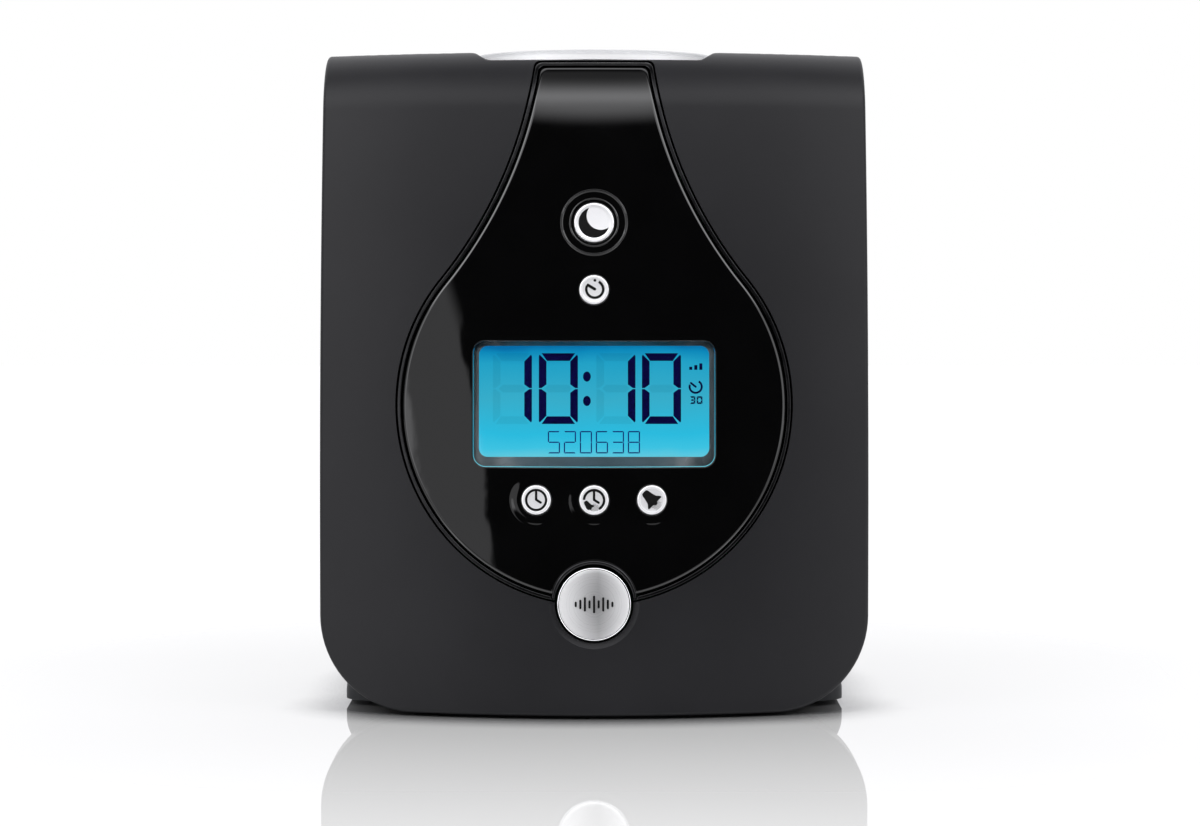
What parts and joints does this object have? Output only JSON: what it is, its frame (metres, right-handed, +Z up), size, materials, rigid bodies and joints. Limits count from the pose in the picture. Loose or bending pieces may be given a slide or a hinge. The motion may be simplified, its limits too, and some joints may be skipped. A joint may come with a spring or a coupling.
{
  "type": "white noise sound machine",
  "caption": "Bedside sound machine: bowed black hood with a drop-shaped gloss panel, clock display, metal buttons, a top dial with a push button, and a rear loudspeaker.",
  "frame": {"origin": "on the table, under the middle of the housing", "axes": "+X to the right as seen from the front, +Y to the back, +Z up"},
  "size_m": [0.165, 0.1288, 0.1999],
  "materials": {
    "shell_plastic": "fine matte texture",
    "cabinet_plastic": "fine matte texture",
    "gloss_panel": "piano black",
    "trim": "dark bright plating",
    "button_metal": "spun satin with a polished edge",
    "window": "clear",
    "lcd": "blue backlit display",
    "light_guide": "milky",
    "inner_plastic": "plain moulded",
    "board": "solder mask",
    "switch": "plain moulded",
    "screw_steel": "zinc plated",
    "grille": "satin black",
    "foam": "closed-cell foam",
    "basket_steel": "black",
    "cone_paper": "pressed pulp",
    "rubber": "matte",
    "magnet": "ground ferrite",
    "cell_sleeve": "plain sleeve",
    "contact": "nickel plated",
    "jack_plastic": "plain moulded"
  },
  "bodies": {
    "housing": {"front_shell": "shell_plastic", "face_panel": "gloss_panel", "trim_ring": "trim", "display_window": "window", "lcd_holder": "inner_plastic", "lcd_glass": "lcd", "lcd_light_guide": "light_guide", "control_board": "board", "tact_switches": "switch", "board_screws": "screw_steel", "dial_encoder": "switch", "top_board": "board", "snooze_switch": "switch", "closing_frame": "cabinet_plastic", "frame_screws": "screw_steel", "rear_cabinet": "cabinet_plastic", "cabinet_screws": "screw_steel", "back_cover": "cabinet_plastic", "cover_screws": "screw_steel", "speaker_grille": "grille", "speaker_gasket": "foam", "speaker_basket": "basket_steel", "speaker_surround": "rubber", "speaker_cone": "cone_paper", "speaker_dust_cap": "cone_paper", "speaker_magnet": "magnet", "speaker_screws": "screw_steel", "base_plinth": "cabinet_plastic", "base_screws": "screw_steel", "battery_cells": "cell_sleeve", "battery_contacts": "contact", "feet": "rubber", "audio_jack": "jack_plastic", "power_jack": "jack_plastic", "jack_board": "board"},
    "timer_button": {"timer_button": "button_metal"},
    "clock_button": {"clock_button": "button_metal"},
    "alarm_set_button": {"alarm_set_button": "button_metal"},
    "alarm_button": {"alarm_button": "button_metal"},
    "moon_button": {"moon_button": "button_metal"},
    "sounds_button": {"sounds_button": "button_metal"},
    "dial": {"volume_dial": "button_metal", "dial_clip": "contact"},
    "snooze": {"snooze_button": "button_metal"},
    "door": {"battery_door": "cabinet_plastic"}
  },
  "joints": [
    {"name": "timer_press", "type": "slide", "parent": "housing", "child": "timer_button", "axis": [0, 0.9912, -0.1321], "range_m": [0, 0.001], "stiffness_N_per_m": 400, "springref_m": -0.001},
    {"name": "clock_press", "type": "slide", "parent": "housing", "child": "clock_button", "axis": [0.0852, 0.9954, -0.0439], "range_m": [0, 0.001], "stiffness_N_per_m": 400, "springref_m": -0.001},
    {"name": "alarm_set_press", "type": "slide", "parent": "housing", "child": "alarm_set_button", "axis": [0, 0.999, -0.0439], "range_m": [0, 0.001], "stiffness_N_per_m": 400, "springref_m": -0.001},
    {"name": "alarm_press", "type": "slide", "parent": "housing", "child": "alarm_button", "axis": [-0.0852, 0.9954, -0.0439], "range_m": [0, 0.001], "stiffness_N_per_m": 400, "springref_m": -0.001},
    {"name": "moon_press", "type": "slide", "parent": "housing", "child": "moon_button", "axis": [0, 0.987, -0.1604], "range_m": [0, 0.001], "stiffness_N_per_m": 400, "springref_m": -0.001},
    {"name": "sounds_press", "type": "slide", "parent": "housing", "child": "sounds_button", "axis": [0, 1, 0], "range_m": [0, 0.001], "stiffness_N_per_m": 400, "springref_m": -0.001},
    {"name": "dial_spin", "type": "hinge", "parent": "housing", "child": "dial", "pos_m": [0, 0.002, 0.19], "axis": [0, 0, 1], "continuous": true},
    {"name": "snooze_press", "type": "slide", "parent": "housing", "child": "snooze", "axis": [0, 0, -1], "range_m": [0, 0.0012], "stiffness_N_per_m": 500, "springref_m": -0.001},
    {"name": "door_slide", "type": "slide", "parent": "housing", "child": "door", "axis": [0, 1, 0], "range_m": [0, 0.07]}
  ]
}
